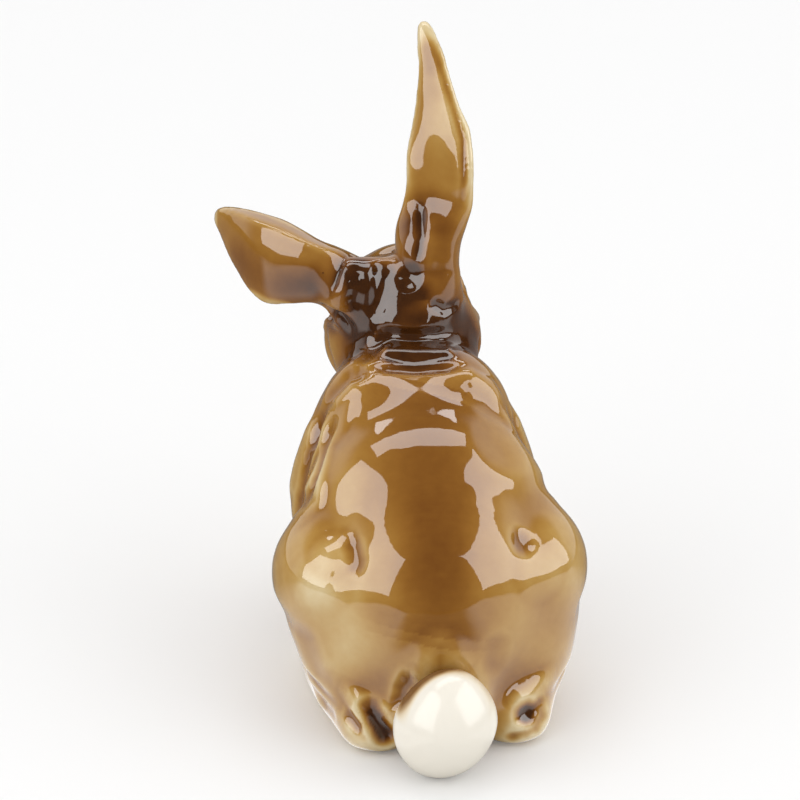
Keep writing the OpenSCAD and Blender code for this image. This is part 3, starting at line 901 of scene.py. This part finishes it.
UPRIGHT_LEAF = Leaf(
    stations=(
        ((402, 300), (466, 300), 4, 0, 0, 17),
        ((398, 270), (460, 270), 8.9, 0, 1, 15),
        ((395, 245), (461, 245), 10.8, 1, 2.2, 11.4),
        ((396, 225), (467, 225), 12.2, 3.5, 1.6, 8.6),
        ((402, 205), (473, 205), 14.4, 5.5, 0.1, 5.4),
        ((406, 185), (474, 185), 16.6, 6.4, -0.6, 4.4),
        ((406, 165), (474, 165), 17.6, 6.8, -0.4, 3.9),
        ((407, 148), (473, 148), 17.9, 6.8, 0.3, 3.6),
        ((411, 128), (470, 128), 18, 6, 1.2, 3.3),
        ((415, 105), (461, 108), 18.2, 4.8, 1.1, 3.1),
        ((417, 85), (455, 90), 18.4, 3.8, 0.6, 3),
        ((418, 65), (449, 70), 18.3, 2.8, 0.5, 2.9),
        ((417, 48), (444, 52), 17.8, 2, 0.4, 2.8),
        ((417, 34), (438, 38), 17.3, 1, 0.3, 2.7),
        ((418, 24), (433, 27), 16.9, 0.3, 0.1, 2.4),
        ((422, 19), (427, 19), 16.7, 0, 0, 1.2),
    ),
    bulge=(0, 0.5, 0.85, 1, 0.85, 0.5, 0),
)

SWUNG_LEAF = Leaf(
    stations=(
        ((372, 262), (372, 330), 2, 0, 0, 14),
        ((352, 252), (352, 334), 6, 0, 1, 12),
        ((336, 245), (338, 326), 8, -1, 2.5, 8),
        ((320, 239), (318, 304), 7.8, -2, 5.2, 4.8),
        ((303, 229), (292, 303), 6.4, -2, 6.8, 3.8),
        ((285, 219), (266, 303), 4.5, -2, 7.3, 3.3),
        ((268, 213), (249, 291), 2.3, -2, 7, 3),
        ((250, 208), (237, 273), -0.2, -1.6, 6.2, 2.9),
        ((236, 205), (226, 253), -2.8, -1.2, 4.8, 2.8),
        ((224, 204), (218, 233), -5.2, -0.8, 3.2, 2.7),
        ((216, 206), (212, 220), -6.6, -0.3, 1.4, 2.2),
        ((212, 210), (211, 215), -7.4, 0, 0, 1),
    ),
    bulge=(0, 0.85, 1, 0.97, 0.87, 0.72, 0.52, 0.28),
)

EAR_FOLDS = from_side(
    PHOTO,
    ((431, 42, 438, 56, 446, 84, 455, 113, 463, 140, 464, 175, 462, 205), 0.4, 1.3),
    ((420, 198, 421, 236, 416, 264), 0.7, 2, 0.2),
    ((438, 222, 440, 255, 436, 290), 0.35, 3),
    ((409, 276), 1.6, 4),
    ((437, 305, 446, 309, 457, 304), 0.8, 2.2),
    ((340, 262, 330, 285, 330, 300), -0.7, 5.2),
    ((324, 310, 336, 317, 343, 326), 2.2, 3.4),
    ((292, 303, 312, 309, 330, 321, 345, 333), -0.6, 1.4),
    ((350, 264, 357, 288, 352, 316), 1.2, 3.4),
    ((384, 268, 381, 288, 376, 306), 1.3, 3.6),
)

NECK_FOLDS = from_side(
    PHOTO,
    ((376, 334, 415, 337, 455, 334), 1.5, 2.6, 0.2),
    ((378, 352, 415, 355, 455, 352), -1.2, 3, 0.1),
    ((372, 367, 415, 370, 461, 367), 1.1, 2.2, 0.2),
    ((348, 356, 366, 342, 384, 322), -0.7, 3.4),
    ((354, 366, 372, 352, 388, 336), 0.7, 3),
    ((470, 330, 486, 345, 494, 372), 0.6, 3.6),
)

SHOULDER_FOLDS = from_side(
    PHOTO,
    ((370, 366, 347, 376, 331, 395, 319, 420, 309, 450), 1.5, 4.4, 0.15),
    ((366, 384, 345, 388, 328, 405, 320, 430, 311, 460, 301, 490), -0.7, 3.4),
    ((334, 414, 326, 444, 317, 471, 305, 500), 1.2, 3.4),
    ((345, 408, 340, 430, 329, 447, 321, 475, 318, 500, 303, 518), -0.6, 3.4),
    ((445, 374, 470, 377, 490, 387, 504, 409, 516, 436), -0.9, 4),
    ((452, 385, 472, 392, 488, 406, 500, 426), 0.5, 4.6),
    ((496, 398, 508, 412, 520, 432), 0.7, 3.4),
)

BODY_FOLDS = from_side(
    PHOTO,
    ((432, 500, 433, 540, 434, 590), -1, 16, 0.15),
    ((500, 445), 1.2, 9),
    ((382, 486, 383, 530, 376, 580), -0.35, 9, 0.05),
    ((492, 510, 493, 540, 490, 575), -0.4, 9, 0.05),
    ((318, 580), -0.6, 9),
    ((538, 572), -0.8, 8),
    ((347, 534, 354, 548, 358, 560, 355, 576), 0.7, 3.4),
    ((521, 541), 0.9, 4.6),
    ((497, 644, 494, 660), 0.35, 4.5),
    ((433, 566), 0.6, 13),
    ((334, 552), -0.9, 6.5),
    ((320, 700), -0.7, 4),
    ((410, 668, 430, 650, 440, 640, 455, 655, 470, 668), -0.5, 5.5),
    ((414, 672, 402, 690, 397, 712), 1.6, 3.6),
    ((306, 640, 318, 672, 338, 690), 0.5, 6),
    ((338, 684, 360, 700, 385, 716), -0.8, 3.6),
    ((343, 710, 355, 722, 362, 732), 1.1, 2.6),
    ((352, 703, 364, 720, 372, 736), -0.7, 2.4),
    ((370, 708, 376, 722, 386, 736), 2, 3.8),
    ((316, 692, 332, 712), 0.35, 3),
    ((556, 672, 530, 690, 508, 706), -0.7, 4),
    ((527, 713), 1.9, 4.2),
    ((540, 704, 543, 716, 537, 728), 0.8, 2.6),
    ((514, 737, 526, 734), 0.8, 2.6),
    ((512, 748, 534, 746), -0.5, 3),
)

FACE_FOLDS = mirrored(*from_side(
    LEFT,
    ((-52.6, 76.2, -50.6, 79.3, -47.6, 80.2, -44.6, 79, -43.2, 76.4), 0.9, 1.3, 0.02),
    ((-52.6, 76.2, -51.2, 73.3, -48.6, 71.9, -45.4, 72.8, -43.2, 76.4), 0.9, 1.3, 0.02),
    ((-54.4, 76.4, -51.8, 81, -47.6, 82.1, -43.4, 80.8, -40.8, 76.8), -0.8, 1.8),
    ((-53.6, 74.8, -51.8, 71.6, -48.6, 70.2, -44.6, 71.2, -41.6, 75), -0.5, 1.5),
    ((-52.8, 75.6, -55.6, 73.6, -57.6, 70.6), 0.5, 1.4),
    ((-66, 61.4, -61, 61.8, -57, 64.4, -54.6, 68), 0.6, 1.6),
    ((-52, 61, -46, 57.6, -39, 58.6), 0.6, 2.4),
    ((-42, 72, -37, 67, -36, 61), 0.5, 2.4),
    ((-64, 72.4, -58, 74.4, -54.4, 78), 0.5, 2.4),
), *from_side(
    FRONT,
    ((3.6, 68.2, 2.6, 69.8, 0.9, 69.2), 0.9, 1.1),
    ((2.2, 71.4, 0, 72), -0.4, 2),
    ((0, 69, 0, 64.6), 0.45, 1.1, 0.1),
    ((0, 64.8, 2.6, 62.2, 6.2, 61.6, 9, 62.8), 0.8, 1.2, 0.1),
    ((4, 65.4), -0.5, 3.4),
    ((0, 60.4), -0.2, 3),
    ((5.4, 86.4, 6.2, 82, 7.6, 77.6), 0.5, 2.4),
))

COAT_FOLDS = mirrored(*from_side(
    FRONT,
    ((13.4, 54, 10.8, 47, 9.4, 40), 0.8, 2.6),
    ((3.2, 53, 2.6, 46, 0.6, 40), 0.4, 1.8),
    ((7, 54, 6, 47, 3.4, 42), 0.4, 1.8),
    ((10, 55, 8.6, 49, 6.6, 44), 0.4, 1.8),
    ((5.7, 7.6, 5.6, 4, 5.8, 0.8), 0.9, 1.2, 0.1),
    ((9.6, 7.6, 9.8, 4, 9.8, 0.8), 0.9, 1.2, 0.1),
    ((2.4, 6, 2.2, 0.8), 0.6, 1.1, 0.1),
    ((24.4, 8.4, 24.2, 4.4, 24, 0.8), 0.9, 1.3, 0.1),
    ((28.2, 8.4, 28.6, 4.4, 28.8, 0.8), 0.9, 1.3, 0.1),
    ((20.6, 6.4, 20.4, 0.8), 0.7, 1.2, 0.1),
), *from_side(
    LEFT,
    ((-29, 25, -24, 23.5, -17, 26.5, -13, 33), 0.6, 3),
    ((-21, 66, -13, 58, -10.5, 46, -12, 34), 1, 4),
    ((-30, 58, -27.5, 46, -28, 34), 0.8, 3),
    ((-20, 56, -19, 44), -0.5, 5),
    ((-7, 26, -9, 36, -5, 46, 4, 52), 0.9, 3.6),
    ((-4, 9.5, 6, 12, 18, 12.5, 28, 10), 0.9, 2.4),
    ((2, 22, 10, 27, 20, 26), 0.4, 5),
    ((-34, 40, -33, 26, -35, 14), 0.4, 2.4),
))

INNER_EARS = from_side(
    FRONT,
    ((-5.5, 99, -9, 108, -10.4, 118, -9, 128, -7, 137), 1.1, 5, 0.2),
    ((-4.4, 97, -7, 106, -8, 114), 0.7, 2),
)

BRUSHWORK_AND_PAINTED_LIGHT = from_side(
    PHOTO,
    ((440, 380, 425, 430, 435, 520, 440, 600, 430, 650), 0.27, 21, 0.1),
    ((425, 480, 438, 560, 440, 640), 0.10, 10),
    ((372, 380, 350, 420, 346, 470), 0.05, 9),
    ((360, 345, 410, 345, 470, 345), 0.34, 12, 0.05),
    ((345, 385, 385, 370, 430, 368, 475, 374, 505, 400), 0.12, 9),
    ((370, 300, 420, 312, 450, 318), 0.36, 12, 0.05),
    ((360, 270, 380, 290), 0.3, 9),
    ((412, 225, 416, 255, 412, 285), 0.34, 6),
    # Paler lower rim of the swung ear: partly thin glaze at the edge, partly a painted reflection.
    ((213, 208, 214, 234, 227, 262, 247, 290, 268, 301, 300, 304), -0.3, 1.8, 0.02),
    # Painted reflection: a pale band along the swung ear's upper edge.
    ((216, 205, 240, 206, 268, 214, 303, 230, 334, 246), -0.2, 2, 0.1),
    # Paler rims of the upright ear: partly thin glaze at the edges, partly a painted reflection.
    ((404, 195, 407, 150, 416, 105, 418, 62, 420, 24), -0.12, 1.8, 0.1),
    ((474, 185, 470, 128, 455, 90, 444, 52, 432, 26), -0.12, 1.8, 0.1),
    ((430, 48, 434, 64), 0.2, 4),
    ((448, 235, 448, 270), 0.16, 5),
    ((385, 353, 415, 356, 452, 353), 0.3, 4.6, 0.05),
    ((330, 600, 345, 640), -0.18, 12),
    ((350, 480, 345, 520), -0.1, 6),
    # Painted shade in the hock hollows.
    ((374, 718, 380, 730), 0.45, 4.4),
    ((527, 713), 0.55, 4),
    ((440, 120, 440, 195), -0.12, 7),
    ((240, 262, 262, 280, 305, 284), 0.16, 8),
    ((430, 205, 440, 215), 0.2, 7),
    ((470, 320, 482, 350), 0.2, 7),
    ((330, 318, 345, 322), 0.3, 5),
    ((290, 290, 330, 280, 350, 270), 0.16, 8),
    ((350, 350, 325, 395, 312, 440, 304, 480), 0.12, 8),
) + mirrored(*from_side(
    FRONT,
    ((0, 52, 0, 42), -0.16, 12),
    ((2, 64, 7, 63), -0.16, 6),
    ((8, 2), -0.2, 8),
    ((25, 2), -0.2, 8),
    ((0, 70.4, 2.6, 69.6), 0.24, 2.8),
    ((0, 86, 0, 76), 0.12, 6),
), *from_side(
    LEFT,
    ((-58, 70, -52, 66), -0.1, 5),
)) + from_side(
    FRONT,
    ((-6, 100, -9, 110, -9.4, 120, -8, 130), -0.2, 5.5),
    ((26, 89, 33, 91, 38, 92), -0.2, 5),
)

EYE_PAINT = mirrored(*from_side(
    LEFT,
    ((-48, 76), 0.8, 5.6),
    ((-48.4, 76.2), 1.4, 3.6),
))


@dataclass
class Tail:
    """The white tail, a lumpy egg that is luted to the rump.

    Attributes:
        middle: Its middle in mm.
        half: Its half sizes in mm.
        rings: Number of its rings.
        taper: How much narrower its tip is, and the power this comes in with.
        foot: The same at its foot.
        lean: How far its tip leans along X, in mm.
        flats: Direction and depth in mm of each flat that a thumb left.
        flat_edge: Cosine at which a flat begins.
        flat_power: The power that a flat gets deeper with.
        stain: Strength of the brown on top, away from the photographed side.
        stain_away: Cosines to that side where it begins and is full.
        stain_up: The same along Z.
        stain_sides: Its share in the middle and its growth along X.
        least_stain: Its least share.
        seam: Where along Y the brown next to the rump begins and is full, as a cosine.
        seam_power: The power that it comes in with.
        shape: The tail.
    """

    middle: Place = (0.9, 44.6, 13.2)
    half: Place = (11.9, 11.2, 13.2)
    rings: int = 96
    taper: Pair = (0.20, 1.6)
    foot: Pair = (0.06, 2)
    lean: float = -1.3
    flats: tuple[tuple[Place, float], ...] = (
        ((-0.3, 0.8, 0.5), 0.5),
        ((0.7, 0.6, 0.2), 0.45),
        ((0.1, 0.8, -0.6), 0.4),
    )
    flat_edge: float = 0.72
    flat_power: float = 1.3
    stain: float = 1.5
    stain_away: Pair = (0.62, 0.27)
    stain_up: Pair = (0.15, 0.55)
    stain_sides: Pair = (0.75, 1.2)
    least_stain: float = 0.2
    seam: Pair = (-0.42, -0.72)
    seam_power: float = 1.5
    shape: Shape = field(init=False)

    def model(self) -> None:
        """Pulls a ball into an egg and gives it the flats that a modeller's thumb leaves."""
        deselect()
        bpy.ops.mesh.primitive_uv_sphere_add(segments=2 * self.rings, ring_count=self.rings, radius=1.0)
        self.shape = bpy.context.object
        self.shape.name = "tail_tuft"
        mesh = self.shape.data
        unit = vertex_array(mesh)
        height = unit[:, 2]
        wide = 1.0 - self.taper[0] * passed(height, 0, 1) ** self.taper[1]
        wide -= self.foot[0] * passed(height, 0, -1) ** self.foot[1]
        bent = unit * np.array(self.half)
        bent[:, 0] *= wide
        bent[:, 1] *= wide
        bent[:, 0] += self.lean * np.clip(height, -1, 1)
        for way, flat in self.flats:
            facing = unit @ (np.array(way) / np.linalg.norm(way))
            bent -= (flat * passed(facing, self.flat_edge, 1) ** self.flat_power)[:, None] * unit
        bent += np.array(self.middle)
        mesh.vertices.foreach_set("co", (bent * MM).astype(np.float32).ravel())
        mesh.update()
        take(self.shape)
        bpy.ops.object.shade_smooth()
        store(self.shape, "tone", self._stained(unit))

    def _stained(self, unit: np.ndarray) -> np.ndarray:
        """The tone of each vertex, from the directions in which they lie from the tail's middle."""
        across, along, up = unit.T
        facing = unit @ np.array(Side.PHOTOGRAPHED.axes()[2])
        top = self.stain * passed(facing, *self.stain_away) * passed(up, *self.stain_up)
        top *= np.clip(self.stain_sides[0] + across * self.stain_sides[1], self.least_stain, 1)
        seam = passed(along, *self.seam) ** self.seam_power
        return np.clip(top + seam, 0, 1)

    def dress(self, finish: bpy.types.Material) -> None:
        """Gives the tail its finish and puts it in its casting's place."""
        self.shape.data.materials.append(finish)
        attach(self.shape, "root")
        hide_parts("tail")


@dataclass(frozen=True)
class Spray:
    """How colour is sprayed on the clay, as a tone from 0 for the palest to 1 for the darkest.

    Attributes:
        ground: Tone of the whole hare.
        mask: What the face gets on top of it.
        mask_rise: Heights in mm where the mask begins and is full.
        mask_back: How far back the mask goes, in mm along Y.
        reliefs: Passes of each reading of the relief, how much paler a millimetre makes the clay,
            and the least and the most of that.
        calm: How much less of this there is on the head.
        calm_rise: Heights in mm where that begins and is full.
        calm_fall: Heights in mm where it has ended and is still full.
        darkest: The darkest tone but for the eyes.
    """

    ground: float = 0.42
    mask: float = 0.12
    mask_rise: Pair = (60, 80)
    mask_back: float = -25
    reliefs: tuple[tuple[int, float, float, float], ...] = ((12, 1.2, -0.12, 0.3), (80, 0.2, -0.12, 0.2))
    calm: float = 0.65
    calm_rise: Pair = (54, 66)
    calm_fall: Pair = (112, 102)
    darkest: float = 0.9

    def tone(self, clay: Clay) -> np.ndarray:
        """Sprays the modelled skin, painted reflections and painted shade included, and gives back the
        tone of each vertex.
        """
        mesh = clay.shape.data
        _, along, up = vertex_array(mesh).T / MM
        tone = np.full(len(up), self.ground)
        tone += self.mask * passed(up, *self.mask_rise) * (along < self.mask_back)
        tone = clay.paint(BRUSHWORK_AND_PAINTED_LIGHT, tone)
        paler = sum(
            np.clip(relief(mesh, passes) * each, least, most) for passes, each, least, most in self.reliefs
        )
        tone -= paler * (1.0 - self.calm * passed(up, *self.calm_rise) * passed(up, *self.calm_fall))
        tone = clay.paint(EYE_PAINT, np.clip(tone, 0.0, self.darkest))
        return np.clip(tone, 0.0, 1.0)


BROWN_GLAZE = Glaze(
    "brown_glaze",
    (
        (0, srgb(222, 205, 165)),
        (0.18, srgb(196, 163, 100)),
        (0.36, srgb(176, 132, 62)),
        (0.55, srgb(146, 98, 38)),
        (0.75, srgb(112, 66, 22)),
        (0.9, srgb(60, 31, 11)),
        (1, srgb(12, 8, 6)),
    ),
)
WHITE_GLAZE = Glaze(
    "white_glaze",
    (
        (0, srgb(241, 237, 227)),
        (0.3, srgb(236, 220, 190)),
        (0.6, srgb(178, 142, 92)),
        (1, srgb(110, 70, 34)),
    ),
    mottle=0.04,
    gloss=0.5,
    blur=0.16,
)

CASTINGS = (
    Casting("glazed_trunk", "trunk", "brown_glaze", (0, 39, 35), (NECK, LEGS, LEFT_FOOT, RIGHT_FOOT)),
    Casting("glazed_head", "head", "dark_glaze", (0, -70, 66), (NECK.turned(), RIGHT_EAR, LEFT_EAR)),
    Casting("upright_ear", "ear_right", "tan_glaze", (-6, -48, 137), (RIGHT_EAR.turned(),)),
    Casting("swung_ear", "ear_left", "tan_glaze", (40, -60, 93), (LEFT_EAR.turned(),)),
    Casting("left_foreleg", "foreleg_left", "brown_glaze", (8, -50, 5),
            (NECK, LEGS.turned(), MEDIAN.turned())),
    Casting("right_foreleg", "foreleg_right", "brown_glaze", (-8, -50, 5), (NECK, LEGS.turned(), MEDIAN)),
    Casting("left_hind_foot", "hind_foot_left", "brown_glaze", (22, 0, 0), (NECK, LEFT_FOOT.turned())),
    Casting("right_hind_foot", "hind_foot_right", "brown_glaze", (-22, 0, 0), (NECK, RIGHT_FOOT.turned())),
)


def main() -> None:
    """Builds the hare and its studio."""
    logging.basicConfig(level=logging.INFO, format="%(message)s")
    clay = Clay()
    clay.gather(frame["nodes"], left_out=("tail", "ear_left", "ear_right"))
    eyes = [clay.eyeball(side) for side in (1, -1)]
    clay.add([UPRIGHT_LEAF.shape("leaf_a"), SWUNG_LEAF.shape("leaf_b"), *eyes])
    LOG.info("skin: %d faces", len(clay.shape.data.polygons))
    for folds in (EAR_FOLDS, NECK_FOLDS, SHOULDER_FOLDS, BODY_FOLDS, FACE_FOLDS, COAT_FOLDS, INNER_EARS):
        clay.press(folds)
    clay.smooth()
    store(clay.shape, "tone", Spray().tone(clay))
    brown = BROWN_GLAZE.material()
    white = WHITE_GLAZE.material()
    tail = Tail()
    tail.model()
    tail.dress(white)
    for casting in CASTINGS:
        casting.release(clay)
        casting.dress(brown)
    bpy.data.objects.remove(clay.shape)
    Studio().build()


if __name__ == "__main__":
    main()
